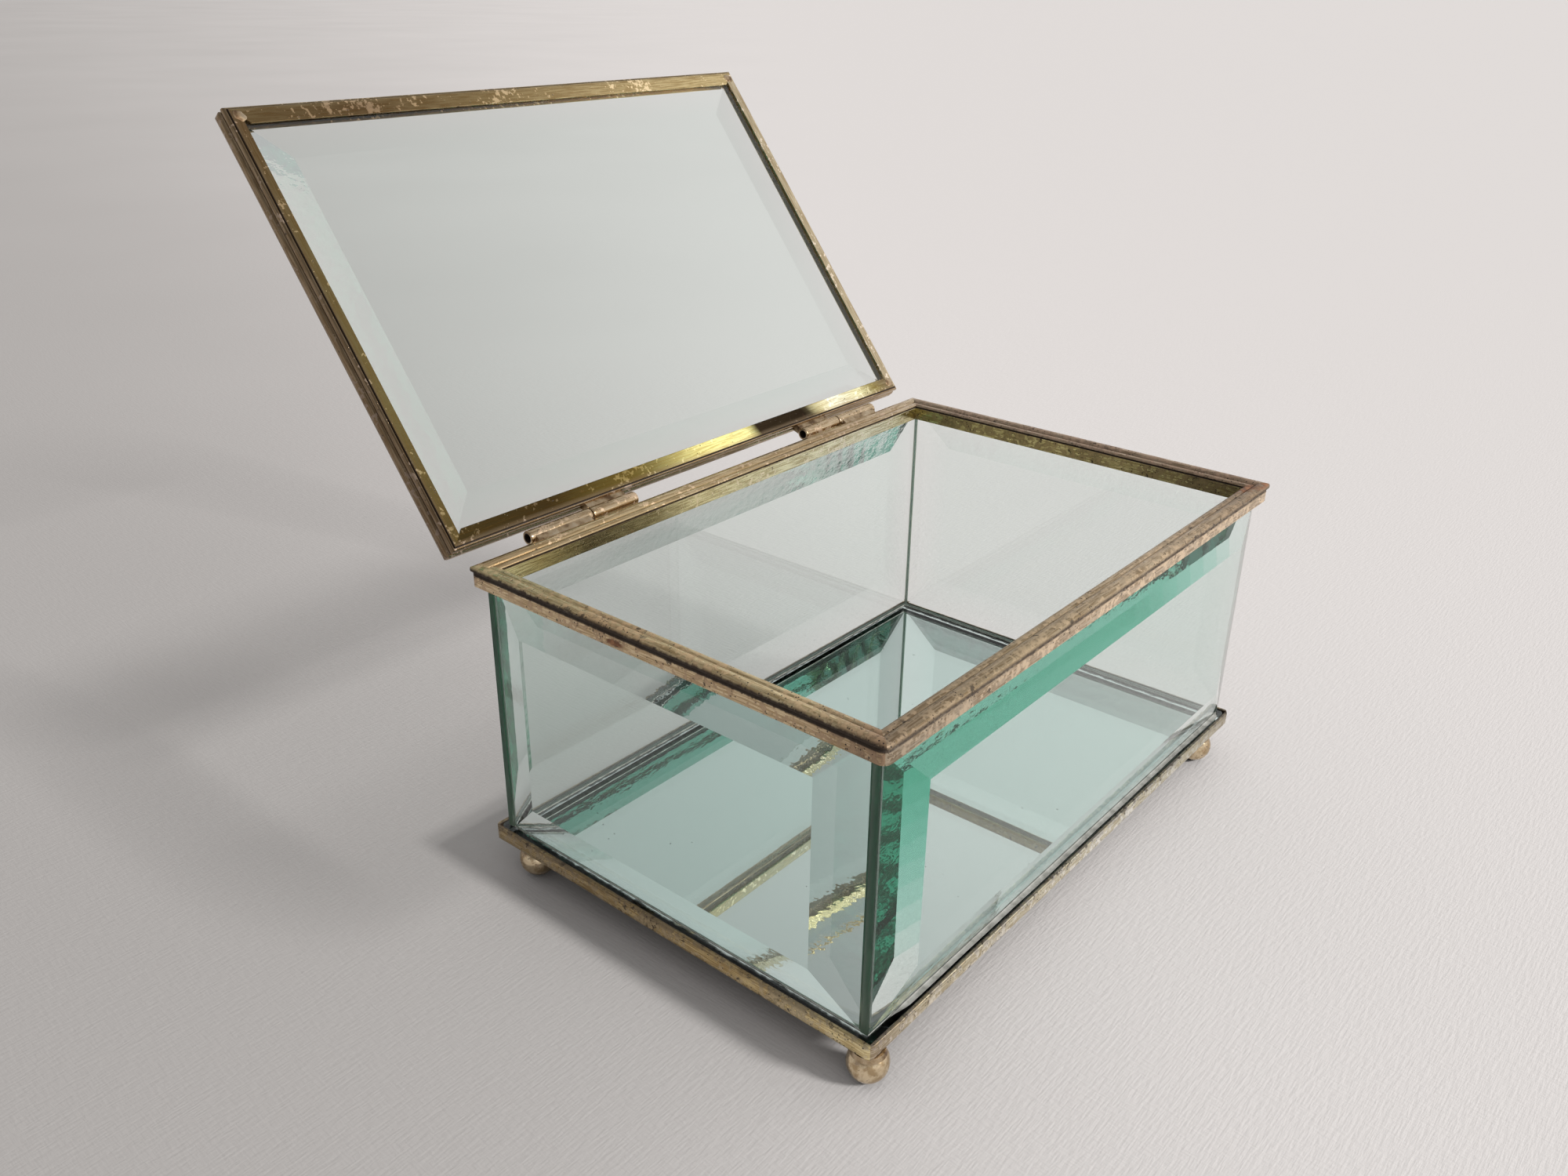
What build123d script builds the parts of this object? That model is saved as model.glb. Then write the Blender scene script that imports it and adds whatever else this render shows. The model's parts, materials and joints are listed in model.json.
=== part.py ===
"""Casket box of bevelled glass in a brass frame, with its hinged lid laid back. Millimetres.

X runs along the hinge edge, -Y is the front and Z is up. The origin is the middle of the box on
the surface that it stands on. The lid swings about the hinge line and is drawn open.
"""

from math import cos, radians, sin, sqrt
from build123d import *
import os

# Overall size, over the outer flanges of the rim
case_width = 160.0
case_depth = 106.5

# Glass: panes with a wide bevel ground round the outer face
glass_height = 62.9
glass_thickness = 4.7
glass_edge = 1.9
wall_bevel = 11.0
end_bevel = 10.4
lid_bevel = 10.6
butt_gap = 0.1
front_glass_inset = 2.0

# Brass channel of the rim and the lid frame: two flanges, a half-round bead and a low rib
channel_width = 4.6
flange_thickness = 0.45
pocket_depth = 2.8
neck_height = 3.65
cove_height = 1.15
cove_depth = 0.35
inner_groove_height = 0.3
bead_overhang = 0.5
bead_half_width = 1.5
bead_rise = 1.0
rib_height = 0.55
rib_inset = 0.35
notch_width = 0.15
notch_angle = 25.0
glass_clearance = 0.05
flange_corner_radius = 2.0
bead_corner_radius = 1.2

# Base: mirror plate in a brass edge strip with a lip under it
base_overhang = 0.2
strip_thickness = 0.6
lip_thickness = 0.5
lip_width = 7.0
strip_stand = 0.3
base_corner_radius = 1.8
mirror_thickness = 2.8
mirror_clearance = 0.3
bedding_thickness = 0.3
bedding_margin = 0.15

# Ball feet, each soldered where the maker set it: inset from the end and from the long side
foot_radius = 4.25
foot_flat_depth = 0.15
foot_seat_depth = 0.85
solder_collar_radius = 3.3
solder_collar_height = 1.1
foot_insets = {
    "front_left": (3.4, 2.9),
    "front_right": (10.7, 4.1),
    "back_left": (4.5, 9.3),
    "back_right": (8.0, 8.0),
}

# Lid and hinges
lid_open_angle = 128.2
lid_seat_gap = 0.15
hinge_setback = 2.95
hinge_drop = 0.35
knuckle_radius = 1.5
knuckle_bore_radius = 1.0
knuckle_end_gap = 0.3
knuckle_edge_radius = 0.15
pin_clearance = 0.05
pin_recess = 2.5
solder_end_margin = 1.2
left_hinge_inset = 17.7
left_box_knuckle = 18.1
left_lid_knuckle = 14.0
right_hinge_inset = 16.5
right_box_knuckle = 16.0
right_lid_knuckle = 14.2

# Heights on the channel, from the edges of its flanges
channel_height = neck_height + bead_rise
flange_flat = neck_height - cove_height
inner_flange_flat = neck_height - inner_groove_height

# Levels above the table
ball_height = foot_radius - foot_flat_depth
base_bottom = ball_height + foot_radius - foot_seat_depth
mirror_bottom = base_bottom + lip_thickness
mirror_top = mirror_bottom + mirror_thickness
base_top = mirror_top + strip_stand
glass_bottom = mirror_top + bedding_thickness
glass_top = glass_bottom + glass_height
rim_bottom = glass_top - pocket_depth
rim_top = rim_bottom + channel_height

# Half sizes of the rectangles that the pieces follow
half_width = case_width / 2
half_depth = case_depth / 2
glass_inset = channel_width - flange_thickness - glass_clearance
glass_half_width = half_width - glass_inset
glass_half_depth = half_depth - glass_inset
lid_half_width = half_width + bead_overhang
lid_half_depth = half_depth + bead_overhang
lid_glass_inset = channel_height - pocket_depth + glass_clearance
base_half_width = half_width + base_overhang
base_half_depth = half_depth + base_overhang
strip_inset = strip_thickness + mirror_clearance

# The hinge line and the lid's own frame, whose origin lies on it: z_dir is the lid's upper side
hinge_y = half_depth + hinge_setback
hinge_z = rim_top - hinge_drop
swing = radians(lid_open_angle)
lid_frame = Plane(origin=(0, hinge_y, hinge_z), x_dir=(1, 0, 0), z_dir=(0, sin(swing), cos(swing)))
lid_under = hinge_drop + lid_seat_gap
lid_centre = lid_frame.from_local_coords(Vector(0, -hinge_y, lid_under))
lid_seat = Plane(origin=lid_centre, x_dir=lid_frame.x_dir, z_dir=lid_frame.z_dir)
rim_seat = Plane(origin=(0, 0, rim_bottom))
base_seat = Plane(origin=(0, 0, base_bottom))

sides = ("front", "back", "left", "right")
os.makedirs("parts", exist_ok=True)


def save(piece, name):
    """Names a finished piece and writes its file."""
    piece.label = name
    export_step(piece, f"parts/{name}.step")


def side_directions(seat, side):
    """Outward and lengthwise directions of one side of a rectangle lying on a seat plane."""
    outward = {
        "front": -seat.y_dir,
        "back": seat.y_dir,
        "left": -seat.x_dir,
        "right": seat.x_dir,
    }[side]
    return outward, seat.z_dir.cross(outward)


def side_reach(side, reach_x, reach_y):
    """How far out a side of a rectangle lies, and half its length."""
    return (reach_x, reach_y) if side in ("left", "right") else (reach_y, reach_x)


def channel_section(plane):
    """The channel's section: local x runs to its beaded outer flange, local y to the bead's top."""
    inner_edge = -channel_width
    bead_x = bead_overhang - bead_half_width
    bead_end = bead_x - bead_half_width * cos(radians(notch_angle))
    rib_start = bead_end - notch_width
    rib_end = inner_edge + rib_inset
    rib_half_width = (rib_start - rib_end) / (1 + cos(radians(notch_angle)))
    notch_floor = neck_height + rib_height * sin(radians(notch_angle)) / 2
    with BuildSketch(plane) as section:
        with BuildLine():
            outer = Polyline(
                (-flange_thickness, pocket_depth),
                (-flange_thickness, 0),
                (0, 0),
                (0, flange_flat),
                (-cove_depth, neck_height - cove_height / 2),
                (-cove_depth, neck_height),
                (bead_overhang, neck_height),
            )
            bead = EllipticalCenterArc(
                (bead_x, neck_height), bead_half_width, bead_rise, 0,
                arc_size=180 - notch_angle,
            )
            rib = EllipticalCenterArc(
                (rib_end + rib_half_width, neck_height), rib_half_width, rib_height,
                notch_angle, arc_size=180 - notch_angle,
            )
            Polyline(bead @ 1, ((bead_end + rib_start) / 2, notch_floor), rib @ 0)
            Polyline(
                rib @ 1,
                (rib_end + cove_depth, neck_height),
                (rib_end + cove_depth, inner_flange_flat),
                (inner_edge, inner_flange_flat),
                (inner_edge, 0),
                (inner_edge + flange_thickness, 0),
                (inner_edge + flange_thickness, pocket_depth),
                outer @ 0,
            )
        make_face()
    return section.sketch


def mitre_planes(seat, side, reach_x, reach_y):
    """The two upright 45-degree planes that end one side of a rectangle at its corners."""
    outward, along = side_directions(seat, side)
    reach, run = side_reach(side, reach_x, reach_y)
    return [
        Plane(origin=seat.origin + outward * reach + along * (run * end), z_dir=outward - along * end)
        for end in (-1, 1)
    ]


def bevelled_pane(plane, width, height, bevel):
    """A pane on its inner face: straight ground edges, then four facets up to the flat middle."""
    with BuildPart() as pane:
        with BuildSketch(plane):
            Rectangle(width, height)
        extrude(amount=glass_edge)
        with BuildSketch(plane.offset(glass_edge)):
            Rectangle(width, height)
        with BuildSketch(plane.offset(glass_thickness)):
            Rectangle(width - 2 * bevel, height - 2 * bevel)
        loft(ruled=True)
    return pane.part


# Base mirror, its corners rounded to sit inside the bent strip
with BuildPart() as base_mirror:
    with BuildSketch(Plane.XY.offset(mirror_bottom)):
        RectangleRounded(
            2 * (base_half_width - strip_inset),
            2 * (base_half_depth - strip_inset),
            base_corner_radius,
        )
    extrude(amount=mirror_thickness)
save(base_mirror.part, "base_mirror")

# Base edge strip: an angle section in four mitred lengths, with the outer corners rounded
with BuildPart() as base_blank:
    with BuildSketch(Plane.XY.offset(base_bottom)):
        RectangleRounded(2 * base_half_width, 2 * base_half_depth, base_corner_radius)
    extrude(amount=base_top - base_bottom)
    with BuildSketch(Plane.XY.offset(mirror_bottom)):
        RectangleRounded(
            2 * (base_half_width - strip_thickness),
            2 * (base_half_depth - strip_thickness),
            base_corner_radius - strip_thickness,
        )
    extrude(amount=base_top - mirror_bottom, mode=Mode.SUBTRACT)
    with BuildSketch(Plane.XY.offset(base_bottom)):
        Rectangle(2 * (base_half_width - lip_width), 2 * (base_half_depth - lip_width))
    extrude(amount=lip_thickness, mode=Mode.SUBTRACT)
for side in sides:
    with BuildPart() as base_strip:
        add(base_blank.part)
        for cut in mitre_planes(base_seat, side, base_half_width, base_half_depth):
            split(bisect_by=cut, keep=Keep.TOP)
    save(base_strip.part, f"base_strip_{side}")

# Ball feet, filed flat where they rest and where they are soldered on
foot_places = {}
for corner, (inset_x, inset_y) in foot_insets.items():
    to_right = 1 if "right" in corner else -1
    to_back = 1 if "back" in corner else -1
    foot_places[corner] = (to_right * (base_half_width - inset_x), to_back * (base_half_depth - inset_y))
for corner, (foot_x, foot_y) in foot_places.items():
    with BuildPart(Plane(origin=(foot_x, foot_y, ball_height))) as foot:
        Sphere(foot_radius)
        split(bisect_by=Plane(origin=(foot_x, foot_y, 0)), keep=Keep.TOP)
        split(bisect_by=Plane(origin=(foot_x, foot_y, base_bottom)), keep=Keep.BOTTOM)
    save(foot.part, f"foot_{corner}")

# Solder collars where the balls meet the strip
collar_bottom = base_bottom - solder_collar_height
ball_radius_at_collar = sqrt(foot_radius**2 - (collar_bottom - ball_height) ** 2)
with BuildPart() as foot_solder:
    for foot_x, foot_y in foot_places.values():
        with BuildSketch(Plane(origin=(foot_x, foot_y, collar_bottom))):
            Circle(ball_radius_at_collar)
        with BuildSketch(Plane(origin=(foot_x, foot_y, base_bottom))):
            Circle(solder_collar_radius)
        loft(ruled=True)
    for foot_x, foot_y in foot_places.values():
        with Locations((foot_x, foot_y, ball_height)):
            Sphere(foot_radius, mode=Mode.SUBTRACT)
save(foot_solder.part, "foot_solder")

# Clear bedding between the mirror and the ground feet of the four walls
bedding_outer = glass_edge - bedding_margin
with BuildPart() as wall_bedding:
    with BuildSketch(Plane.XY.offset(mirror_top)):
        Rectangle(2 * (glass_half_width + bedding_outer), 2 * (glass_half_depth + bedding_outer))
        Rectangle(
            2 * (glass_half_width + bedding_margin),
            2 * (glass_half_depth + bedding_margin),
            mode=Mode.SUBTRACT,
        )
    extrude(amount=bedding_thickness)
save(wall_bedding.part, "wall_bedding")

# Wall glass: the long walls run past the end walls, which butt against their inner faces
pane_middle = glass_bottom + glass_height / 2
long_wall = 2 * (half_width - front_glass_inset)
end_wall = 2 * (glass_half_depth - butt_gap)
for side in sides:
    outward, along = side_directions(Plane.XY, side)
    reach, _ = side_reach(side, glass_half_width, glass_half_depth)
    inner_face = Plane(origin=outward * reach + Vector(0, 0, pane_middle), x_dir=along, z_dir=outward)
    if side in ("left", "right"):
        pane = bevelled_pane(inner_face, end_wall, glass_height, end_bevel)
    else:
        pane = bevelled_pane(inner_face, long_wall, glass_height, wall_bevel)
    save(pane, f"wall_glass_{side}")

# Rim over the wall glass: its flange corners are filed rounder than the corners of the bead
with BuildPart() as rim_filings:
    with BuildSketch(Plane.XY.offset(rim_bottom)):
        Rectangle(2 * lid_half_width, 2 * lid_half_depth)
        RectangleRounded(case_width, case_depth, flange_corner_radius, mode=Mode.SUBTRACT)
    extrude(amount=neck_height)
    with BuildSketch(Plane.XY.offset(rim_bottom + neck_height)):
        Rectangle(2 * lid_half_width, 2 * lid_half_depth)
        RectangleRounded(
            2 * lid_half_width, 2 * lid_half_depth, bead_corner_radius, mode=Mode.SUBTRACT
        )
    extrude(amount=bead_rise)
rims = {}
for side in sides:
    outward, along = side_directions(rim_seat, side)
    reach, run = side_reach(side, half_width, half_depth)
    section_plane = Plane(
        origin=rim_seat.origin + outward * reach, x_dir=outward, z_dir=outward.cross(rim_seat.z_dir)
    )
    with BuildPart() as rim:
        extrude(channel_section(section_plane), amount=run + bead_overhang, both=True)
        for cut in mitre_planes(rim_seat, side, half_width, half_depth):
            split(bisect_by=cut, keep=Keep.TOP)
        add(rim_filings.part, mode=Mode.SUBTRACT)
    rims[side] = rim.part
    save(rim.part, f"rim_{side}")

# Lid frame: the same channel turned to hold the lid glass, its bead round the outside
with BuildPart() as lid_filings:
    with BuildSketch(lid_seat):
        Rectangle(2 * lid_half_width, 2 * lid_half_depth)
        RectangleRounded(
            2 * lid_half_width, 2 * lid_half_depth, bead_corner_radius, mode=Mode.SUBTRACT
        )
    extrude(amount=channel_width + bead_overhang)
lid_rails = {}
for side in sides:
    outward, along = side_directions(lid_seat, side)
    reach, run = side_reach(side, lid_half_width, lid_half_depth)
    section_origin = lid_seat.origin + outward * (reach - channel_height) + lid_seat.z_dir * channel_width
    section_plane = Plane(origin=section_origin, x_dir=lid_seat.z_dir, z_dir=lid_seat.z_dir.cross(outward))
    with BuildPart() as lid_rail:
        extrude(channel_section(section_plane), amount=run, both=True)
        for cut in mitre_planes(lid_seat, side, lid_half_width, lid_half_depth):
            split(bisect_by=cut, keep=Keep.TOP)
        add(lid_filings.part, mode=Mode.SUBTRACT)
    lid_rails[side] = lid_rail.part
    save(lid_rail.part, f"lid_frame_{side}")

# Lid glass, its flat inner face against the lower flanges
lid_glass_plane = lid_seat.offset(flange_thickness + glass_clearance)
lid_glass = bevelled_pane(
    lid_glass_plane,
    2 * (lid_half_width - lid_glass_inset),
    2 * (lid_half_depth - lid_glass_inset),
    lid_bevel,
)
save(lid_glass, "lid_glass")

# Hinges: the outer tube of each is soldered to the rim and the inner one to the lid frame
left_start = left_hinge_inset - half_width
left_lid_start = left_start + left_box_knuckle + knuckle_end_gap
right_end = half_width - right_hinge_inset
right_lid_end = right_end - right_box_knuckle - knuckle_end_gap
knuckles = {
    "hinge_left_box_knuckle": (left_start, left_start + left_box_knuckle),
    "hinge_left_lid_knuckle": (left_lid_start, left_lid_start + left_lid_knuckle),
    "hinge_right_lid_knuckle": (right_lid_end - right_lid_knuckle, right_lid_end),
    "hinge_right_box_knuckle": (right_end - right_box_knuckle, right_end),
}
for name, (start, end) in knuckles.items():
    with BuildPart() as knuckle:
        with BuildSketch(Plane(origin=(start, hinge_y, hinge_z), z_dir=(1, 0, 0))):
            Circle(knuckle_radius)
            Circle(knuckle_bore_radius, mode=Mode.SUBTRACT)
        extrude(amount=end - start)
        rims_of_tube = knuckle.edges().filter_by(GeomType.CIRCLE)
        fillet(rims_of_tube.group_by(SortBy.RADIUS)[-1], knuckle_edge_radius)
    save(knuckle.part, name)

# Hinge pins, short of the tube ends, which stay open
pins = {
    "hinge_left_pin": (left_start, left_lid_start + left_lid_knuckle),
    "hinge_right_pin": (right_lid_end - right_lid_knuckle, right_end),
}
for name, (start, end) in pins.items():
    with BuildPart() as pin:
        with BuildSketch(Plane(origin=(start + pin_recess, hinge_y, hinge_z), z_dir=(1, 0, 0))):
            Circle(knuckle_bore_radius - pin_clearance)
        extrude(amount=end - start - 2 * pin_recess)
    save(pin.part, name)


def solder_run(corners, plane, length):
    """Solder filling the space between a tube and a rail: a bar whose section is a polygon."""
    with BuildPart() as run:
        with BuildSketch(plane):
            with BuildLine():
                Polyline(*corners, close=True)
            make_face()
        extrude(amount=length)
        with BuildSketch(plane):
            Circle(knuckle_radius)
        extrude(amount=length, mode=Mode.SUBTRACT)
    return run.part


def on_tube(angle):
    """A point on a knuckle's skin, by its angle from the local x direction."""
    return (knuckle_radius * cos(radians(angle)), knuckle_radius * sin(radians(angle)))


# Solder between the box knuckles and the back rim; local x is +Y and local y is +Z
flange_x = half_depth - hinge_y
box_solder_corners = [
    on_tube(-65),
    on_tube(105),
    (flange_x + bead_overhang / 2, rim_bottom + neck_height + rib_height - hinge_z),
    (flange_x - flange_thickness / 2, rim_bottom + neck_height - hinge_z),
    (flange_x, rim_bottom + flange_flat / 2 - hinge_z),
]
with BuildPart() as hinge_solder_box:
    for name in ("hinge_left_box_knuckle", "hinge_right_box_knuckle"):
        start, end = knuckles[name]
        plane = Plane(
            origin=(start + solder_end_margin, hinge_y, hinge_z), x_dir=(0, 1, 0), z_dir=(1, 0, 0)
        )
        add(solder_run(box_solder_corners, plane, end - start - 2 * solder_end_margin))
    add(rims["back"], mode=Mode.SUBTRACT)
save(hinge_solder_box.part, "hinge_solder_box")

# Solder between the lid knuckles and the lid frame; local axes are the lid's own y and z
lid_edge_x = lid_half_depth - hinge_y
lid_solder_corners = [
    on_tube(155),
    on_tube(70),
    (lid_edge_x - rib_inset, lid_under + channel_width - bead_half_width),
    (lid_edge_x - rib_inset - rib_height, lid_under + rib_inset + rib_height),
]
with BuildPart() as hinge_solder_lid:
    for name in ("hinge_left_lid_knuckle", "hinge_right_lid_knuckle"):
        start, end = knuckles[name]
        plane = Plane(
            origin=(start + solder_end_margin, hinge_y, hinge_z),
            x_dir=lid_frame.y_dir,
            z_dir=(1, 0, 0),
        )
        add(solder_run(lid_solder_corners, plane, end - start - 2 * solder_end_margin))
    add(lid_rails["back"], mode=Mode.SUBTRACT)
save(hinge_solder_lid.part, "hinge_solder_lid")
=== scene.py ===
"""Looks of the glass casket box: aged brass, bevelled plate glass, a mirror base, ball feet.

Metres, in the same frame as the solids. Every new piece is a surface worked out with numpy,
and its place comes from the boxes of the solids that it stands for.
"""

import json
import math
import bmesh
import bpy
import numpy as np
from mathutils import Matrix, Vector


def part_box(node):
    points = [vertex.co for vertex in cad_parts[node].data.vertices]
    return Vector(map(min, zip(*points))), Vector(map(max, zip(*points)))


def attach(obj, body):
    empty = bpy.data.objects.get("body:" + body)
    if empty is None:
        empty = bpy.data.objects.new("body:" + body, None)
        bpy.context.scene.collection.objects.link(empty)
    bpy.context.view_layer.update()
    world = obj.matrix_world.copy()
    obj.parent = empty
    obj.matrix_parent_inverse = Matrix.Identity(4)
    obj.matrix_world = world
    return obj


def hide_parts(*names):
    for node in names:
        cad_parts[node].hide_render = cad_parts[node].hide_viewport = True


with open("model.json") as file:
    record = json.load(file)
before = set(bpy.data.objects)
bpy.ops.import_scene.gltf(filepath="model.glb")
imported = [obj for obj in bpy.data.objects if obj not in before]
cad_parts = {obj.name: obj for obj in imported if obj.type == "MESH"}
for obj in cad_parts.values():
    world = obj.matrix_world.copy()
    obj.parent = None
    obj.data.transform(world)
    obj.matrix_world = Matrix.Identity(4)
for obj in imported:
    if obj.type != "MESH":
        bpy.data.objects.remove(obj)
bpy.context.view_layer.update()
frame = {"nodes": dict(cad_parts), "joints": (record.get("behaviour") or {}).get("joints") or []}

MM = 0.001
SIDES = ("front", "back", "left", "right")
LONG_SIDES = SIDES[:2]
UP = (0, 0, 1)
OUTWARD = {"front": (0, -1, 0), "back": (0, 1, 0), "left": (-1, 0, 0), "right": (1, 0, 0)}

# ---------------------------------------------------------------- sizes, most from the frame
RIM_LOW, RIM_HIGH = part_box("rim_front")
BEAD_OVERHANG = 0.5 * MM
CASE_X = -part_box("rim_left")[0].x - BEAD_OVERHANG
CASE_Y = -RIM_LOW.y - BEAD_OVERHANG
RIM_BOTTOM = RIM_LOW.z
RIM_TOP = RIM_HIGH.z
CHANNEL_HEIGHT = RIM_TOP - RIM_BOTTOM
CHANNEL_WIDTH = 4.6 * MM
LID_X = CASE_X + BEAD_OVERHANG
LID_Y = CASE_Y + BEAD_OVERHANG
LID_SEAT_GAP = 0.15 * MM
LID_UNDER = RIM_TOP + LID_SEAT_GAP
JOINT = frame["joints"][0]
HINGE = Vector(JOINT["pos_m"])
LID_OPEN = math.radians(JOINT["range_deg"][1])
BASE_X = -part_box("base_strip_left")[0].x
BASE_Y = -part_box("base_strip_front")[0].y
BASE_BOTTOM, BASE_TOP = (corner.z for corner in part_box("base_strip_front"))
MIRROR_LOW, MIRROR_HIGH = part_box("base_mirror")
MIRROR_CORNER = 1.8 * MM

# Plate glass
GLASS_THICKNESS = 4.7 * MM
GLASS_EDGE = 1.9 * MM
WALL_BEVEL = 11.0 * MM
END_BEVEL = 10.4 * MM
LID_BEVEL = 10.6 * MM
ARRIS = 0.22 * MM

# ---------------------------------------------------------------- camera
CAMERA_PLACE = Vector((-231.758, -156.603, 189.533)) * MM
CAMERA_YAW = math.radians(50.449)
CAMERA_PITCH = math.radians(-25.189)
CAMERA_ROLL = math.radians(0.76)
CAMERA_LENS = 30.412


def make_camera():
    """The photograph's camera: yaw from +Y towards +X, pitch below the horizon, a slight roll."""
    ahead = Vector((
        math.sin(CAMERA_YAW) * math.cos(CAMERA_PITCH),
        math.cos(CAMERA_YAW) * math.cos(CAMERA_PITCH),
        math.sin(CAMERA_PITCH),
    ))
    level_right = ahead.cross(Vector(UP)).normalized()
    level_up = level_right.cross(ahead)
    right = level_right * math.cos(CAMERA_ROLL) + level_up * math.sin(CAMERA_ROLL)
    up = level_up * math.cos(CAMERA_ROLL) - level_right * math.sin(CAMERA_ROLL)
    data = bpy.data.cameras.new("photo_camera")
    data.lens = CAMERA_LENS
    data.sensor_width = 36.0
    data.clip_start = 0.01
    camera = bpy.data.objects.new("photo_camera", data)
    turn = Matrix((right, up, -ahead)).transposed().to_4x4()
    camera.matrix_world = Matrix.Translation(CAMERA_PLACE) @ turn
    bpy.context.scene.collection.objects.link(camera)
    bpy.context.scene.camera = camera


make_camera()


# ---------------------------------------------------------------- node helpers
def wire(tree, source, target):
    """Links a socket to another, or sets it to a plain value."""
    if isinstance(source, bpy.types.NodeSocket):
        tree.links.new(source, target)
    else:
        target.default_value = source


def set_inputs(tree, node, **values):
    """Wires a node's inputs by name, with _ for a space in the name."""
    for name, value in values.items():
        wire(tree, value, node.inputs[name.replace("_", " ")])


def add_node(tree, kind, **values):
    node = tree.nodes.new(f"ShaderNode{kind}")
    set_inputs(tree, node, **values)
    return node


def new_material(name):
    """An empty node material with its output and one Principled shader."""
    material = bpy.data.materials.new(name)
    material.use_nodes = True
    tree = material.node_tree
    tree.nodes.clear()
    shader = add_node(tree, "BsdfPrincipled")
    output = add_node(tree, "OutputMaterial", Surface=shader.outputs[0])
    return material, tree, shader, output


def place(tree, kind="Object"):
    return add_node(tree, "TexCoord").outputs[kind]


def noise(tree, where, scale, detail=4.0, rough=0.55, stretch=None):
    """Noise at so many features a metre, stretched along X, Y or Z where asked."""
    if stretch:
        where = add_node(tree, "Mapping", Scale=stretch, Vector=where).outputs[0]
    node = add_node(tree, "TexNoise", Scale=scale, Detail=detail, Roughness=rough, Vector=where)
    return node.outputs["Fac"]


def cells(tree, where, scale):
    """Distance to the nearest of many scattered points, so many a metre."""
    return add_node(tree, "TexVoronoi", Scale=scale, Vector=where).outputs["Distance"]


def ramp(tree, value, low, high, from_value=0.0, to_value=1.0):
    """A smooth step of a value between low and high."""
    node = add_node(tree, "MapRange", Value=value, From_Min=low, From_Max=high,
                    To_Min=from_value, To_Max=to_value)
    node.interpolation_type = "SMOOTHSTEP"
    return node.outputs["Result"]


def colours(tree, value, stops):
    """A colour ramp from a list of (position, colour)."""
    node = add_node(tree, "ValToRGB", Fac=value)
    strip = node.color_ramp
    while len(strip.elements) < len(stops):
        strip.elements.new(0.5)
    for element, (at, colour) in zip(strip.elements, stops):
        element.position = at
        element.color = (*colour, 1.0)
    return node.outputs["Color"]


def blend_colour(tree, share, first, second, mode="MIX"):
    """A mix of two colours; each is a socket or a plain colour."""
    node = add_node(tree, "Mix", Factor=share)
    node.data_type = "RGBA"
    node.blend_type = mode
    for socket, colour in zip(node.inputs[6:8], (first, second)):
        wire(tree, (*colour, 1.0) if isinstance(colour, tuple) else colour, socket)
    return node.outputs[2]


def calc(tree, operation, first, second=None):
    """One sum on sockets or plain numbers."""
    node = add_node(tree, "Math")
    node.operation = operation
    for socket, value in zip(node.inputs, (first, second)):
        if value is not None:
            wire(tree, value, socket)
    return node.outputs[0]


def plus(tree, first, second):
    return calc(tree, "ADD", first, second)


def minus(tree, first, second):
    return calc(tree, "SUBTRACT", first, second)


def times(tree, first, second):
    return calc(tree, "MULTIPLY", first, second)


def larger(tree, first, second):
    return calc(tree, "MAXIMUM", first, second)


def along(tree, where, direction):
    """How far a unit direction points along another, from -1 to 1."""
    node = add_node(tree, "VectorMath")
    node.operation = "DOT_PRODUCT"
    for socket, value in zip(node.inputs, (where, direction)):
        wire(tree, value, socket)
    return node.outputs["Value"]


def relief(tree, shader, height, depth, strength=1.0):
    """Bump of a height socket over a depth in metres."""
    node = add_node(tree, "Bump", Strength=strength, Distance=depth, Height=height)
    wire(tree, node.outputs[0], shader.inputs["Normal"])


def attribute(tree, name, kind="Fac"):
    node = add_node(tree, "Attribute")
    node.attribute_name = name
    return node.outputs[kind]


# ---------------------------------------------------------------- materials
POLISH_DEPTH = 0.022 * MM


def make_clear_glass():
    """Float glass, clear across its thickness and green along it, dull where its edges are ground.

    The mesh attribute ground is 1 on the ground edges and the glued strips, 0 elsewhere, and
    bevelled is 1 on the wide bevels, which the polishing wheel has left slightly wavy.
    """
    material, tree, shader, output = new_material("clear_glass")
    where = place(tree)
    ground = attribute(tree, "ground")
    streaks = noise(tree, where, 300.0, 5.0, 0.6, (1.0, 1.0, 0.15))
    dull = colours(tree, streaks, [
        (0.32, (0.06, 0.10, 0.07)), (0.52, (0.14, 0.20, 0.14)), (0.72, (0.28, 0.33, 0.22)),
    ])
    set_inputs(tree, shader, IOR=1.52, Transmission_Weight=1.0,
               Base_Color=blend_colour(tree, ground, (1.0, 1.0, 1.0), dull),
               Roughness=times(tree, ground, 0.55))
    body = add_node(tree, "VolumeAbsorption", Color=(0.08, 0.73, 0.575, 1.0), Density=20.0)
    wire(tree, body.outputs[0], output.inputs["Volume"])
    waves = noise(tree, where, 1.0, 2.0, 0.5, (420.0, 420.0, 640.0))
    relief(tree, shader, times(tree, waves, attribute(tree, "bevelled")), POLISH_DEPTH)
    return material


SPOILT_BAND = 1.0 * MM
SPOILT_FADE = 0.8 * MM
LEDGE_WIDTH = 2.1 * MM
LEDGE_FADE = 0.5 * MM
LEDGE_SPARED = 2.7 * MM
LEDGE_START = 6.0 * MM
LEDGE_RISE = 2.0 * MM


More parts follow.
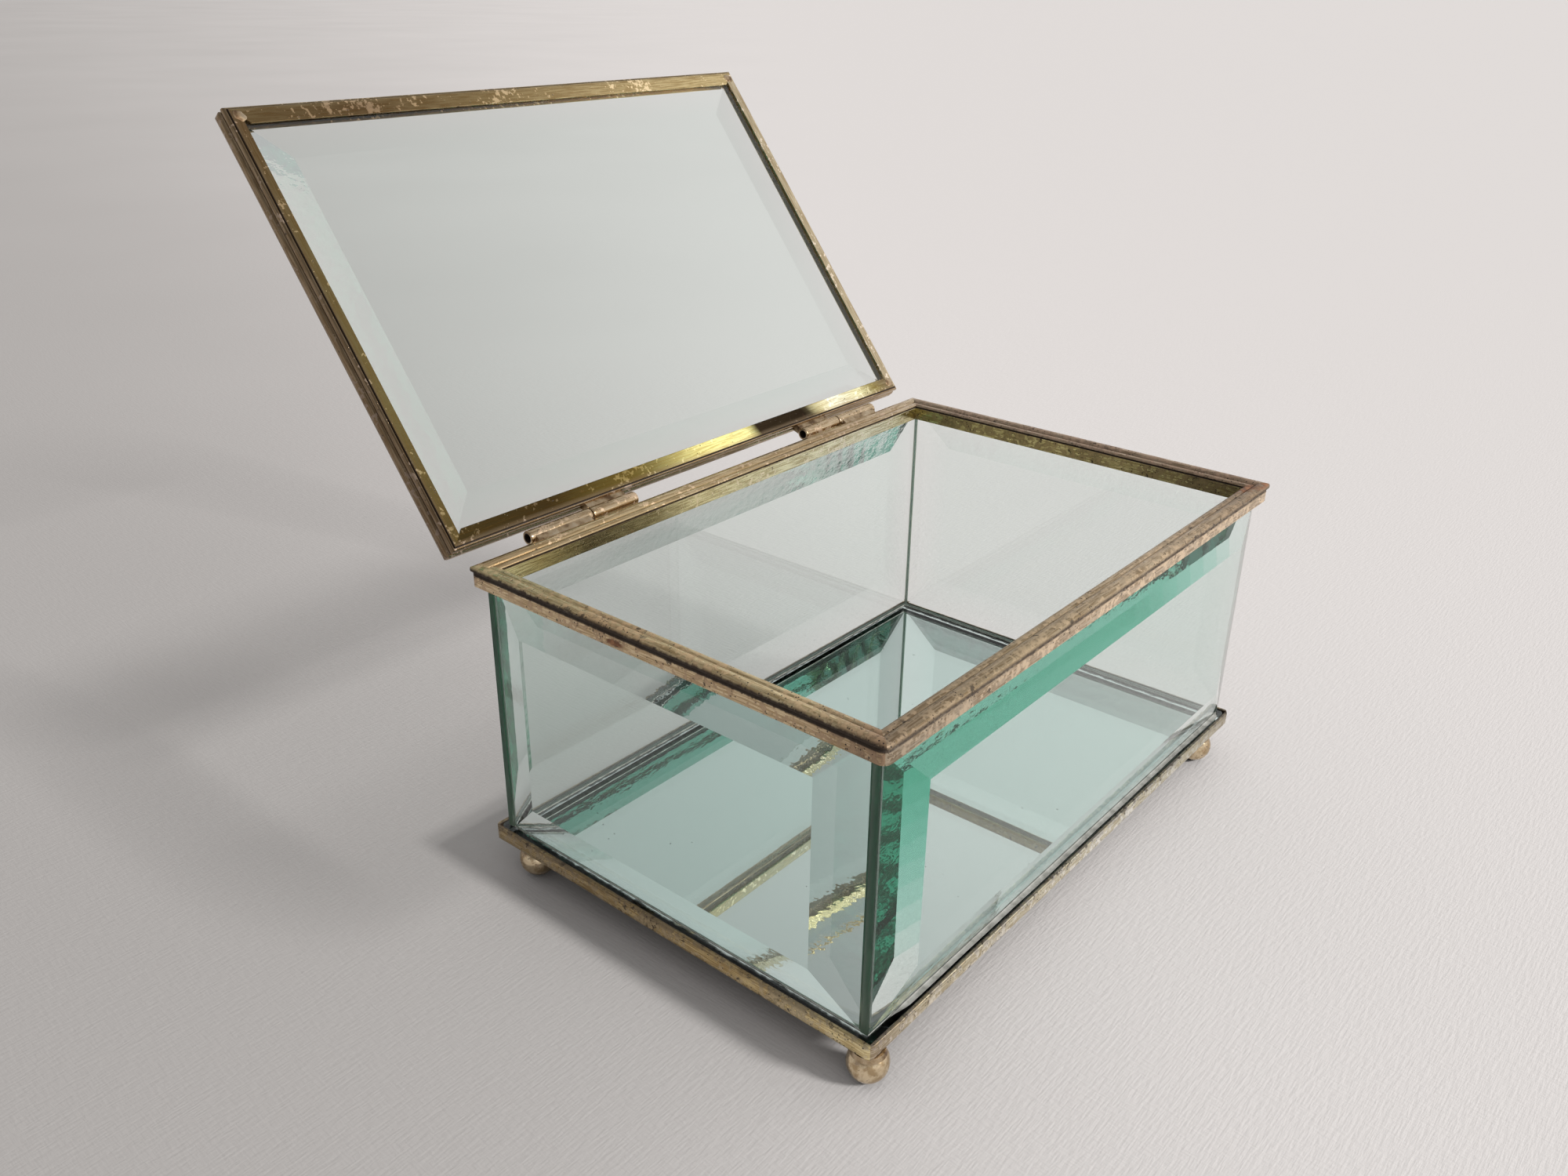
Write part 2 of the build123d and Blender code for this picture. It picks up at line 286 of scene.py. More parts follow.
def make_silver():
    """The silvering behind the base plate, blackened in a ragged band along its edges.

    On the ledge outside the front wall it has stayed bright, except near the left corner.
    """
    material, tree, shader, _ = new_material("mirror_silver")
    where = place(tree)
    x, y, _ = add_node(tree, "SeparateXYZ", Vector=where).outputs
    from_end = minus(tree, MIRROR_HIGH.x, calc(tree, "ABSOLUTE", x))
    from_side = minus(tree, MIRROR_HIGH.y, calc(tree, "ABSOLUTE", y))
    to_edge = calc(tree, "MINIMUM", from_end, from_side)
    ledge_y = LEDGE_WIDTH - MIRROR_HIGH.y
    ledge = ramp(tree, y, ledge_y, ledge_y + LEDGE_FADE, LEDGE_SPARED, 0.0)
    start_x = LEDGE_START - MIRROR_HIGH.x
    to_edge = plus(tree, to_edge, times(tree, ledge, ramp(tree, x, start_x, start_x + LEDGE_RISE)))
    to_edge = minus(tree, to_edge, times(tree, noise(tree, where, 420.0, 5.0, 0.6), 2.2 * MM))
    spoilt = ramp(tree, to_edge, SPOILT_BAND, SPOILT_BAND + SPOILT_FADE, 1.0, 0.0)
    dirt = larger(tree, spoilt, ramp(tree, noise(tree, where, 900.0, 2.0), 0.74, 0.78))
    set_inputs(tree, shader, Metallic=ramp(tree, dirt, 0.0, 1.0, 1.0, 0.0),
               Base_Color=blend_colour(tree, dirt, (0.86, 0.90, 0.885), (0.012, 0.012, 0.011)),
               Roughness=ramp(tree, dirt, 0.0, 1.0, 0.012, 0.5))
    return material


def make_brass(name, crust_share, tone=None, tarnish=0.5, pits=0.5, shine=0.30, streaky=True):
    """Old brass: drawn metal with lengthwise streaks, islands of dull oxide, black pits and rust.

    Mesh attributes: flow runs along the strip in x and across it in y; the tint is the metal's tone
    with painted light and reflections in it; the groove value, 1 in the bottom of a groove, paints
    shade and some dirt; rust is 1 where it has rusted, and haze is 1 where fine scratches catch the
    light. The oxide's colour is crust_share times the metal's, and a higher tarnish spreads it.
    A piece whose metal has one tone all over gets it from tone.
    """
    material, tree, shader, _ = new_material(name)
    where = place(tree)
    flow = attribute(tree, "flow", "Vector") if streaky else where
    stretch = (150.0, 2600.0, 40.0) if streaky else (500.0, 500.0, 500.0)
    streak = noise(tree, flow, 1.0, 5.0, 0.6, stretch)
    broad = noise(tree, where, 95.0, 4.0, 0.6)
    fine = noise(tree, where, 760.0, 5.0, 0.62)
    grain = noise(tree, where, 3000.0, 3.0, 0.6)
    tint = tone or attribute(tree, "tint", "Vector")
    shade = blend_colour(tree, ramp(tree, streak, 0.40, 0.60), (0.62, 0.56, 0.48), (1.0, 1.0, 1.0))
    metal = blend_colour(tree, 1.0, shade, tint, "MULTIPLY")
    spread = plus(tree, times(tree, broad, 0.45), times(tree, fine, 0.55))
    edge = 0.62 - 0.24 * tarnish
    oxide = ramp(tree, spread, edge - 0.012, edge + 0.02)
    dark_crust = tuple(0.42 * part for part in crust_share)
    crust = blend_colour(tree, ramp(tree, fine, 0.36, 0.60), dark_crust, crust_share)
    crust = blend_colour(tree, 1.0, crust, tint, "MULTIPLY")
    colour = blend_colour(tree, oxide, metal, crust)
    deep = attribute(tree, "recess")
    hole = ramp(tree, cells(tree, where, 1150.0), 0.13, 0.24, 1.0, 0.0)
    crowd = plus(tree, noise(tree, where, 210.0, 4.0, 0.6), times(tree, deep, 0.14))
    pit = times(tree, hole, ramp(tree, crowd, 0.62 - 0.16 * pits, 0.70 - 0.16 * pits))
    blot = plus(tree, noise(tree, where, 480.0, 5.0, 0.68), times(tree, deep, 0.07))
    blot = ramp(tree, blot, 0.67 - 0.05 * pits, 0.70 - 0.05 * pits)
    pit = larger(tree, pit, times(tree, blot, 0.8))
    colour = blend_colour(tree, pit, colour, (0.024, 0.015, 0.010))
    patchy = minus(tree, noise(tree, where, 330.0, 5.0, 0.65), 0.62)
    rusty = ramp(tree, plus(tree, attribute(tree, "rust"), patchy), 0.0, 0.30, 0.0, 0.88)
    rust_tone = blend_colour(tree, ramp(tree, fine, 0.40, 0.62),
                             (0.14, 0.048, 0.022), (0.34, 0.15, 0.07))
    colour = blend_colour(tree, rusty, colour, rust_tone)
    # Grooves, the notch and the bead's lower side are darkened to dark brown: painted shade, with
    # some dirt.
    ragged = plus(tree, deep, times(tree, minus(tree, fine, 0.5), 0.7))
    painted_groove_shade = ramp(tree, ragged, 0.15, 0.85)
    colour = blend_colour(tree, painted_groove_shade, colour, (0.045, 0.029, 0.018))
    dull = larger(tree, larger(tree, pit, rusty), painted_groove_shade)
    covered = larger(tree, times(tree, oxide, 0.45), times(tree, dull, 0.9))
    rough = ramp(tree, streak, 0.35, 0.65, shine + 0.10, shine - 0.05)
    for layer, roughness in ((oxide, 0.16), (dull, 0.3), (attribute(tree, "haze"), 0.24)):
        rough = plus(tree, rough, times(tree, layer, roughness))
    set_inputs(tree, shader, Base_Color=colour, Metallic=minus(tree, 1.0, covered), Roughness=rough)
    height = times(tree, fine, 0.5)
    for layer, rise in ((grain, 0.18), (streak, 0.30), (pit, -0.8)):
        height = plus(tree, height, times(tree, layer, rise))
    bend = noise(tree, where, 38.0, 2.0, 0.5)
    relief(tree, shader, plus(tree, height, times(tree, bend, 6.0)), 0.1 * MM, 0.5)
    return material


def make_solder():
    """Solder with a brassy skin: smooth lumps, brown in the hollows."""
    material, tree, shader, _ = new_material("solder")
    lumps = noise(tree, place(tree), 330.0, 4.0, 0.55)
    tone = colours(tree, lumps, [
        (0.36, (0.16, 0.10, 0.055)), (0.48, (0.46, 0.34, 0.21)), (0.66, (0.66, 0.54, 0.38)),
    ])
    set_inputs(tree, shader, Base_Color=tone, Metallic=0.92,
               Roughness=ramp(tree, lumps, 0.35, 0.65, 0.46, 0.22))
    relief(tree, shader, lumps, 0.3 * MM, 0.45)
    return material


def make_bedding(name, dirt, cloudy, clean):
    """Old clear adhesive, clouded white; the dirt caught in it is dirt times its cloudy tone."""
    material, tree, shader, _ = new_material(name)
    cloud = noise(tree, place(tree), 520.0, 5.0, 0.6)
    dirty = tuple(dirt * part for part in cloudy)
    set_inputs(tree, shader, Roughness=ramp(tree, cloud, 0.3, 0.7, 0.65, 0.3),
               Base_Color=colours(tree, cloud, [(0.34, dirty), (0.46, cloudy), (0.70, clean)]))
    relief(tree, shader, cloud, 0.2 * MM, 0.5)
    return material


def make_floor():
    """Fine pale cloth with painted light and shade: paler to the right, where the light comes from,
    greyer to the left.
    """
    material, tree, shader, _ = new_material("floor")
    where = place(tree)
    away = add_node(tree, "VectorMath")
    away.operation = "LENGTH"
    wire(tree, where, away.inputs[0])
    across = along(tree, where, (0.783, -0.622, 0.0))
    bearing = calc(tree, "DIVIDE", across, plus(tree, away.outputs["Value"], 0.22))
    # A painted falloff of light across the floor, with soft cloudy patches in it.
    cloudy = times(tree, noise(tree, where, 3.0, 2.0), 0.12)
    painted_falloff = ramp(tree, plus(tree, bearing, cloudy), -0.42, 0.26)
    set_inputs(tree, shader, Roughness=0.9, Specular_IOR_Level=0.1,
               Base_Color=blend_colour(tree, painted_falloff, (0.490, 0.470, 0.458), (0.835, 0.803, 0.790)))
    weave = plus(tree, noise(tree, where, 1.0, 2.0, 0.6, (240.0, 1500.0, 300.0)),
                 noise(tree, where, 1.0, 2.0, 0.6, (1500.0, 240.0, 300.0)))
    relief(tree, shader, weave, 0.6 * MM, 0.2)
    return material


CLEAR_GLASS = make_clear_glass()
SILVER = make_silver()
RIM_BRASS = make_brass("rim_brass", (0.70, 0.63, 0.60), tarnish=0.50, pits=1.0)
FRONT_BRASS = make_brass("front_rim_brass", (0.98, 0.94, 0.90), tarnish=0.50, pits=0.8)
BACK_BRASS = make_brass("back_rim_brass", (0.80, 0.76, 0.80), tarnish=0.22, pits=0.2, shine=0.18)
LID_BRASS = make_brass("lid_brass", (1.00, 1.00, 1.15), tarnish=0.20, pits=0.25, shine=0.20)
BASE_BRASS = make_brass("base_brass", (0.80, 0.80, 0.90), tarnish=0.45, pits=0.9, shine=0.28)
FOOT_BRASS = make_brass("foot_brass", (0.62, 0.57, 0.55), (0.80, 0.65, 0.44), tarnish=0.40,
                        pits=0.6, shine=0.16, streaky=False)
TUBE_BRASS = make_brass("tube_brass", (0.75, 0.70, 0.70), (0.80, 0.63, 0.42), tarnish=0.35,
                        pits=0.35, shine=0.18)
WIRE_BRASS = make_brass("wire_brass", (0.35, 0.33, 0.38), (0.16, 0.12, 0.07), streaky=False)
SOLDER = make_solder()
BEDDING = make_bedding("bedding", 0.35, (0.42, 0.42, 0.37), (0.72, 0.73, 0.68))
GLUE = make_bedding("pale_glue", 0.7, (0.34, 0.34, 0.31), (0.50, 0.50, 0.47))
FLOOR = make_floor()


# ---------------------------------------------------------------- mesh helpers
def to_open(points):
    """Swings points drawn with the lid closed back about the hinge line: a turn about X."""
    turn_cos, turn_sin = math.cos(LID_OPEN), math.sin(LID_OPEN)
    swung = np.array(points, float)
    y = points[:, 1] - HINGE.y
    z = points[:, 2] - HINGE.z
    swung[:, 1] = HINGE.y + turn_cos * y + turn_sin * z
    swung[:, 2] = HINGE.z - turn_sin * y + turn_cos * z
    return swung


def make_piece(name, points, faces, material, body, slot_name, node=None, smooth=False,
               **vertex_values):
    """Puts points and faces into a mesh object that rides on a body and stands for its node."""
    mesh = bpy.data.meshes.new(name)
    mesh.from_pydata(points.tolist(), [], faces)
    mesh.update()
    mesh.materials.append(material)
    mesh.polygons.foreach_set("use_smooth", np.full(len(mesh.polygons), smooth))
    for label, values in vertex_values.items():
        values = np.asarray(values, np.float32)
        kind, field = ("FLOAT_VECTOR", "vector") if values.shape[-1] == 3 else ("FLOAT", "value")
        mesh.attributes.new(label, kind, "POINT").data.foreach_set(field, values.ravel())
    piece = bpy.data.objects.new(name, mesh)
    bpy.context.scene.collection.objects.link(piece)
    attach(piece, body)
    if node:
        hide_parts(node)
    return piece


def mark_faces(piece, label, values):
    """Writes one number for every face."""
    layer = piece.data.attributes.new(label, "FLOAT", "FACE")
    layer.data.foreach_set("value", np.asarray(values, np.float32))


def face_outwards(piece, crease_deg=None):
    """Turns all faces of a closed piece outwards; creases over the angle are kept sharp."""
    work = bmesh.new()
    work.from_mesh(piece.data)
    bmesh.ops.recalc_face_normals(work, faces=work.faces)
    work.to_mesh(piece.data)
    work.free()
    if crease_deg:
        piece.data.set_sharp_from_angle(angle=math.radians(crease_deg))


def grid_faces(rows, columns, wrap_columns=True, wrap_rows=False):
    """Quads over a grid of rows and columns, as indexes row by row."""
    row_count = rows if wrap_rows else rows - 1
    column_count = columns if wrap_columns else columns - 1
    r, c = np.meshgrid(np.arange(row_count), np.arange(column_count), indexing="ij")
    r2 = (r + 1) % rows
    c2 = (c + 1) % columns
    quads = np.stack([r * columns + c, r * columns + c2, r2 * columns + c2, r2 * columns + c], -1)
    return quads.reshape(-1, 4).tolist()


def capped_faces(rows, columns):
    """A tube of quads whose first and last rows are closed by one face each."""
    first = list(range(columns))
    last = list(range((rows - 1) * columns, rows * columns))[::-1]
    return grid_faces(rows, columns) + [first, last]


# ---------------------------------------------------------------- glass
GLUE_INSET = 0.25 * MM


def pane_piece(name, centre, across, up, outward, width, height, bevel, body, node, glued=False):
    """A bevelled plate: nested rectangles, each an inset from the edge and a height off the back.

    The rectangles run from the flat back over a tiny arris, up the ground edge, over a second
    arris, up the wide bevel, to the raised middle. Where it is glued, the back has a dull strip
    along either end, as wide as the edge of the pane that butts against it.
    """
    rings = np.array([
        (ARRIS, 0.0), (0.0, ARRIS), (0.0, GLASS_EDGE - ARRIS), (ARRIS, GLASS_EDGE),
        (bevel, GLASS_THICKNESS),
    ])
    turns = np.array([(-1, -1), (1, -1), (1, 1), (-1, 1)], float)
    flat = turns * (np.array([width / 2, height / 2]) - rings[:, :1, None])
    rise = np.repeat(rings[:, 1:], 4, 1)
    local = np.concatenate([flat, rise[..., None]], -1).reshape(-1, 3)
    middle = (len(rings) - 1) * 4
    faces = grid_faces(len(rings), 4) + [list(range(middle, middle + 4))]
    dull = [1.0] * 12 + [0.0] * (len(faces) - 12)
    if glued:
        strip = width / 2 - GLUE_INSET - GLASS_EDGE
        tall = height / 2 - ARRIS
        a, b, c, d = range(len(local), len(local) + 4)
        local = np.concatenate([local, np.column_stack([turns * (strip, tall), np.zeros(4)])])
        faces += [[0, 3, d, a], [a, d, c, b], [b, c, 2, 1]]
        faces[0] = [0, a, b, 1, 5, 4]
        faces[2] = [2, c, d, 3, 7, 6]
        dull += [1.0, 0.0, 1.0]
    else:
        faces.append([3, 2, 1, 0])
        dull.append(0.0)
    points = np.array(centre) + local @ np.array([across, up, outward], float)
    if body == "lid":
        points = to_open(points)
    piece = make_piece(name, points, faces, CLEAR_GLASS, body, "clear_glass", node)
    mark_faces(piece, "ground", dull)
    mark_faces(piece, "bevelled", np.arange(len(faces)) // 4 == len(rings) - 2)
    face_outwards(piece)


def make_walls():
    for side in SIDES:
        low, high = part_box(f"wall_glass_{side}")
        size = high - low
        long_side = side in LONG_SIDES
        width, thickness = size.xy if long_side else size.yx
        outward = np.array(OUTWARD[side], float)
        centre = np.array((low + high) / 2) - outward * thickness / 2
        pane_piece(f"pane_{side}", centre, np.cross(UP, outward), UP, outward, width,
                   high.z - low.z, WALL_BEVEL if long_side else END_BEVEL, "box",
                   f"wall_glass_{side}", long_side)


LID_GLASS_INSET = 1.9 * MM
LID_GLASS_LIFT = 0.5 * MM


def make_lid_glass():
    pane_piece("pane_lid", (0, 0, LID_UNDER + LID_GLASS_LIFT), (1, 0, 0), (0, 1, 0), UP,
               2 * (LID_X - LID_GLASS_INSET), 2 * (LID_Y - LID_GLASS_INSET), LID_BEVEL,
               "lid", "lid_glass")


SILVER_THICKNESS = 0.12 * MM
SILVER_GAP = 0.012 * MM


def mirror_slab(name, low_z, high_z, material):
    """A plate with the outline of the mirror's solid: a rectangle with its corners rounded."""
    reach = np.array([MIRROR_HIGH.x, MIRROR_HIGH.y]) - MIRROR_CORNER
    angle = np.linspace(0, math.pi / 2, 7)
    outline = []
    for quarter, signs in enumerate(((1, 1), (-1, 1), (-1, -1), (1, -1))):
        turned = angle + quarter * math.pi / 2
        corner = np.stack([np.cos(turned), np.sin(turned)], -1) * MIRROR_CORNER
        outline.append(corner + reach * signs)
    outline = np.concatenate(outline)
    count = len(outline)
    points = np.concatenate([
        np.column_stack([outline, np.full(count, level)]) for level in (low_z, high_z)
    ])
    faces = grid_faces(2, count) + [list(range(count))[::-1], list(range(count, 2 * count))]
    piece = make_piece(name, points, faces, material, "box", "mirror_plate", "base_mirror")
    mark_faces(piece, "ground", [1.0] * count + [0.0, 0.0])


def make_mirror():
    """A clear plate over a thin silvered sheet, with a hair of air between them."""
    plate_z = MIRROR_LOW.z + SILVER_THICKNESS
    mirror_slab("mirror_plate_glass", plate_z, MIRROR_HIGH.z, CLEAR_GLASS)
    mirror_slab("mirror_silvering", MIRROR_LOW.z, plate_z - SILVER_GAP, SILVER)


# ---------------------------------------------------------------- brass channel
# The section is drawn in mm; its bead and its rib both rise from the neck.
NECK = 3.65
NOTCH_ANGLE = math.radians(25)
# Painted shade on the bead's lower outer side fades out by this angle.
BEAD_SHADE_ANGLE = math.radians(62)


def arc_points(middle, half_width, rise, from_angle, to_angle, steps):
    """Points along an elliptic arc that rises from the neck, its angle counted from local x."""
    angle = np.linspace(from_angle, to_angle, steps)
    return np.stack([middle + half_width * np.cos(angle), NECK + rise * np.sin(angle)], -1)


def channel_profile():
    """The channel's section as points, and how much painted shade and dirt lies on each.

    Local x runs out to the beaded flange and local y up to the bead's top. From the outer flange
    edge: flat flange, hollow cove, half-round bead, fine notch, low rib, groove, inner flange.
    """
    bead_end = math.pi - NOTCH_ANGLE
    bead = arc_points(-1.0, 1.5, CHANNEL_HEIGHT / MM - NECK, 0.0, bead_end, 15)
    rib_end, rib_start = -4.25, bead[-1, 0] - 0.15
    rib_half = (rib_start - rib_end) / (1 + math.cos(NOTCH_ANGLE))
    rib = arc_points(rib_end + rib_half, rib_half, 0.55, NOTCH_ANGLE, math.pi, 10)
    flange = [(-0.45, 0.06), (-0.38, 0.0), (-0.07, 0.0), (0.0, 0.07), (0.0, 1.2), (0.0, 2.3)]
    cove = [(-0.08, 2.62), (-0.24, 2.9), (-0.35, 3.1), (-0.26, 3.26), (0.06, 3.33), (0.32, 3.43),
            (0.46, NECK - 0.12)]
    notch = [((bead[-1, 0] + rib_start) / 2, NECK + 0.12)]
    groove = [(rib_end + 0.1, NECK - 0.1), (-3.9, NECK - 0.05), (-3.9, 3.38), (-4.5, 3.35)]
    inner = [(-4.6, 3.25), (-4.6, 2.2), (-4.6, 1.1), (-4.6, 0.07), (-4.53, 0.0), (-4.22, 0.0),
             (-4.15, 0.06)]
    pocket = [(-4.15, 2.8), (-0.45, 2.8)]
    # Painted shade and dirt on each part of the section: most in the cove, the notch and the
    # groove.
    sections = [(flange, 0.0), (cove, 0.62), (bead, 0.0), (notch, 0.9), (rib, 0.05),
                (groove, 0.95), (inner, 0.0), (pocket, 0.2)]
    points = np.concatenate([section for section, _ in sections])
    recess = np.concatenate([np.full(len(section), depth) for section, depth in sections])
    recess[len(flange) - 1] = 0.15
    start = len(flange) + len(cove)
    bead_angle = np.linspace(0.0, bead_end, len(bead))
    # The bead's lower outer side, turned away from the light, gets painted shade.
    recess[start:start + len(bead)] = 0.55 * np.clip(1.0 - bead_angle / BEAD_SHADE_ANGLE, 0, 1)
    return points * MM, recess


def shift_flange(profile, shift):
    """The section with its flanges made shorter by a shift, the bead kept where it is."""
    seam = 3.45 * MM
    shorter = profile.copy()
    below = profile[:, 1] < seam
    shorter[below, 1] = seam - (seam - profile[below, 1]) * (1 - shift / seam)
    return shorter


def across_distance(profile):
    """Distance round a section from its first point to each point."""
    steps = np.hypot(*np.diff(profile, axis=0).T)
    return np.concatenate([[0.0], np.cumsum(steps)])


def stations(columns):
    """Even steps from -1 to 1 along a rail, the same for every point of its section."""
    return np.broadcast_to(np.linspace(-1, 1, STATIONS)[:, None], (STATIONS, columns))


PROFILE, PROFILE_SHADE_AND_DIRT = channel_profile()
STATIONS = 90
STATION_CROWDING = 1.35


def rail_points(out_point, up_point, reach, run, overhang, radius):
    """A profile carried along a mitred side, its outer corners filed to arcs.

    The stations crowd towards both corners. At each one a profile point lies out_point beyond
    the side's reach. The run of each point ends on the 45-degree mitre, so it is longer the
    further out the point lies. Points outside the arc of their corner are drawn back onto it.
    Overhang and radius are one number, or one for each profile point, and radius may have a row
    for either end.
    """
    share = stations(len(out_point))
    share = np.sign(share) * (1 - (1 - np.abs(share)) ** STATION_CROWDING)
    along_side = share * (run + out_point)
    out = np.broadcast_to(reach + out_point, share.shape)
    low_end, high_end = np.broadcast_to(radius, (2, len(out_point)))
    radius = np.where(share < 0, low_end, high_end)
    centre_out = reach + overhang - radius
    centre_along = run + overhang - radius
    past_out = out - centre_out
    past_along = np.abs(along_side) - centre_along
    distance = np.hypot(past_out, past_along)
    outside = (past_out > 0) & (past_along > 0) & (distance > radius)
    pull = np.where(outside, radius / np.maximum(distance, 1e-9), 1.0)
    out = np.where(outside, centre_out + past_out * pull, out)
    drawn_back = np.sign(along_side) * (centre_along + past_along * pull)
    return out, np.where(outside, drawn_back, along_side), np.broadcast_to(up_point, share.shape)


def unevenness(distance, phase, size):
    """Slow wander of hand-formed strip: three sines of long wavelengths, always inwards."""
    wander = (
        0.5 * np.sin(distance * 61.0 + phase)
        + 0.3 * np.sin(distance * 147.0 + 2.1 * phase)
        + 0.2 * np.sin(distance * 318.0 + 3.7 * phase)
    )
    return size * (wander - 1.0) / 2


WANDER_FADE = 6 * MM


def sweep_side(name, side, profile, recess, out_up, reach_xy, overhang, radius, base_z, material,
               body, node, phase, wander, tint, rust=0.0, haze=0.0, sink=None):
    """Carries a section along one side of a rectangle and closes its ends on the mitres.

    The wander fades out before the mitres, so that the corners meet.
    """
    outward = np.array(OUTWARD[side], float)
    along_axis = np.cross(UP, outward)
    reach, run = reach_xy[::-1] if side in LONG_SIDES else reach_xy
    out, along_side, up = rail_points(*out_up, reach, run, overhang, radius)
    if sink:
        up = up - sink(along_side)
    sway = unevenness(along_side, phase, wander)
    out = out + sway * np.clip((run - np.abs(along_side)) / WANDER_FADE, 0, 1)
    directions = np.array([outward, along_axis, UP])
    points = np.stack([out, along_side, base_z + up], -1).reshape(-1, 3) @ directions
    shape = along_side.shape
    flow = np.stack([along_side, np.broadcast_to(across_distance(profile), shape),
                     np.full(shape, phase)], -1)
    if body == "lid":
        points = to_open(points)
    piece = make_piece(name, points, capped_faces(*shape), material, body, "aged_brass", node,
                       smooth=True, recess=np.tile(recess, STATIONS), flow=flow.reshape(-1, 3),
                       tint=tint.reshape(-1, 3), rust=np.broadcast_to(rust, shape).ravel(),
                       haze=np.broadcast_to(haze, shape).ravel())
    face_outwards(piece, crease_deg=32.0)


# Corner radii, in mm at either end, and how strong the painted shade and dirt in each rail's
# grooves is.
FLANGE_RADIUS = {"front": (2.0, 1.0), "back": (1.0, 1.0), "left": (1.0, 2.0), "right": (1.0, 1.0)}
BEAD_RADIUS = 1.2 * MM
GROOVE_SHADE_AND_DIRT = {"front": 1.15, "back": 0.8, "left": 1.85, "right": 1.0}
RIM_METAL = {"front": FRONT_BRASS, "back": BACK_BRASS, "left": RIM_BRASS, "right": RIM_BRASS}
LID_FLANGE_SHIFT = {"front": -0.35, "back": 0.0, "left": 1.1, "right": 0.6}
AXIS_SIGN = {"front": 1, "back": -1, "left": -1, "right": 1}
RAIL_WANDER = 0.05 * MM
FLANGE_HEIGHT = 3.62 * MM
OUTER_FACE_X = -0.46 * MM
INNER_FACE_X = -3.95 * MM

# The metal's tones along each strip, with painted light, highlights and reflections in them: place
# in mm along X or Y, then red, green and blue there.
# Places count the stations as if they were even. As they crowd towards the corners, a tone lies
# further out than its place says, by up to 9 mm half way to a corner.
RIM_BEAD_TONES_AND_REFLECTIONS = {
    "front": [(-76, 0.39, 0.30, 0.20), (-30, 0.49, 0.39, 0.25), (15, 0.64, 0.51, 0.35),
              (60, 0.40, 0.30, 0.20)],
    "back": [(-70, 0.80, 0.60, 0.35), (-20, 0.88, 0.70, 0.42), (30, 0.66, 0.50, 0.31),
             (75, 0.74, 0.60, 0.42)],
    "left": [(-50, 0.62, 0.46, 0.29), (-30, 0.98, 0.82, 0.50), (10, 0.88, 0.69, 0.41),
             (50, 0.98, 0.88, 0.52)],
    "right": [(-50, 0.60, 0.46, 0.33), (50, 0.70, 0.56, 0.42)],
}
RIM_FLANGE_TONES_AND_REFLECTIONS = {
    "front": [(-76, 0.42, 0.35, 0.26), (-40, 0.58, 0.47, 0.34), (0, 0.75, 0.61, 0.45),
              (70, 0.69, 0.56, 0.41)],
    "back": [(0, 0.70, 0.52, 0.32)],
    "left": [(-50, 0.56, 0.42, 0.28), (-25, 0.88, 0.70, 0.46), (50, 0.88, 0.70, 0.46)],
    "right": [(0, 0.60, 0.46, 0.30)],
}
RIM_INSIDE_TONES_AND_REFLECTIONS = {
    "front": [(0, 0.40, 0.31, 0.15)],
    # The back rim's inner flange: its bright stretches are painted highlights.
    "back": [(-76, 0.85, 0.74, 0.40), (-62, 0.54, 0.43, 0.19), (-45, 0.18, 0.14, 0.07),
             (-28, 0.34, 0.28, 0.14), (-14, 0.88, 0.77, 0.44), (15, 0.92, 0.86, 0.60),
             (50, 0.92, 0.87, 0.68), (72, 0.72, 0.62, 0.36)],
    "left": [(0, 0.45, 0.35, 0.17)],
    "right": [(-45, 0.34, 0.27, 0.13), (0, 0.90, 0.74, 0.36), (45, 0.66, 0.56, 0.25)],
}
LID_TONES_AND_REFLECTIONS = {
    "front": [(-74, 0.34, 0.24, 0.115), (-40, 0.29, 0.19, 0.09), (-10, 0.52, 0.38, 0.18),
              (25, 0.90, 0.70, 0.36), (60, 1.00, 0.80, 0.42)],
    # The lid's hinge rail: its bright and dark stretches are painted highlights and reflections.
    "back": [(-70, 0.11, 0.075, 0.025), (-45, 0.10, 0.065, 0.022), (-20, 0.30, 0.22, 0.055),
             (2, 1.00, 0.94, 0.40), (13, 1.00, 0.97, 0.45), (15, 0.06, 0.04, 0.02),
             (33, 0.045, 0.03, 0.015), (36, 0.90, 0.82, 0.45), (46, 1.00, 1.00, 0.80),
             (58, 0.95, 0.92, 0.55), (66, 0.50, 0.40, 0.14), (74, 0.42, 0.33, 0.18)],
    "left": [(-48, 0.32, 0.21, 0.105), (-15, 0.36, 0.27, 0.12), (15, 0.34, 0.27, 0.11),
             (45, 0.22, 0.16, 0.06)],
    "right": [(0, 0.80, 0.68, 0.46)],
}
LID_EDGE_TONES_AND_REFLECTIONS = {
    "front": [(0, 0.52, 0.40, 0.22)],
    "back": [(0, 0.50, 0.38, 0.25)],
    "left": [(-40, 0.40, 0.30, 0.19), (40, 0.30, 0.22, 0.14)],
    "right": [(0, 0.90, 0.74, 0.52)],
}
STRIP_TONES_AND_REFLECTIONS = {
    "front": [(-76, 0.60, 0.50, 0.36), (-50, 0.84, 0.76, 0.55), (10, 0.96, 0.92, 0.74),
              (45, 0.74, 0.71, 0.54), (76, 0.50, 0.44, 0.31)],
    "back": [(0, 0.70, 0.58, 0.36)],
    "left": [(-50, 1.00, 0.86, 0.50), (-15, 0.72, 0.55, 0.28), (15, 0.46, 0.35, 0.18),
             (50, 0.50, 0.39, 0.22)],
    "right": [(0, 0.70, 0.58, 0.36)],
}

# Where the lid's hinge rail is hazed by fine scratches: place as above, then how much.
HINGE_RAIL_HAZE = [(-16, 0.0), (-2, 1.0), (12, 1.0), (15, 0.0), (35, 0.0), (40, 1.0), (56, 1.0),
                   (68, 0.0)]


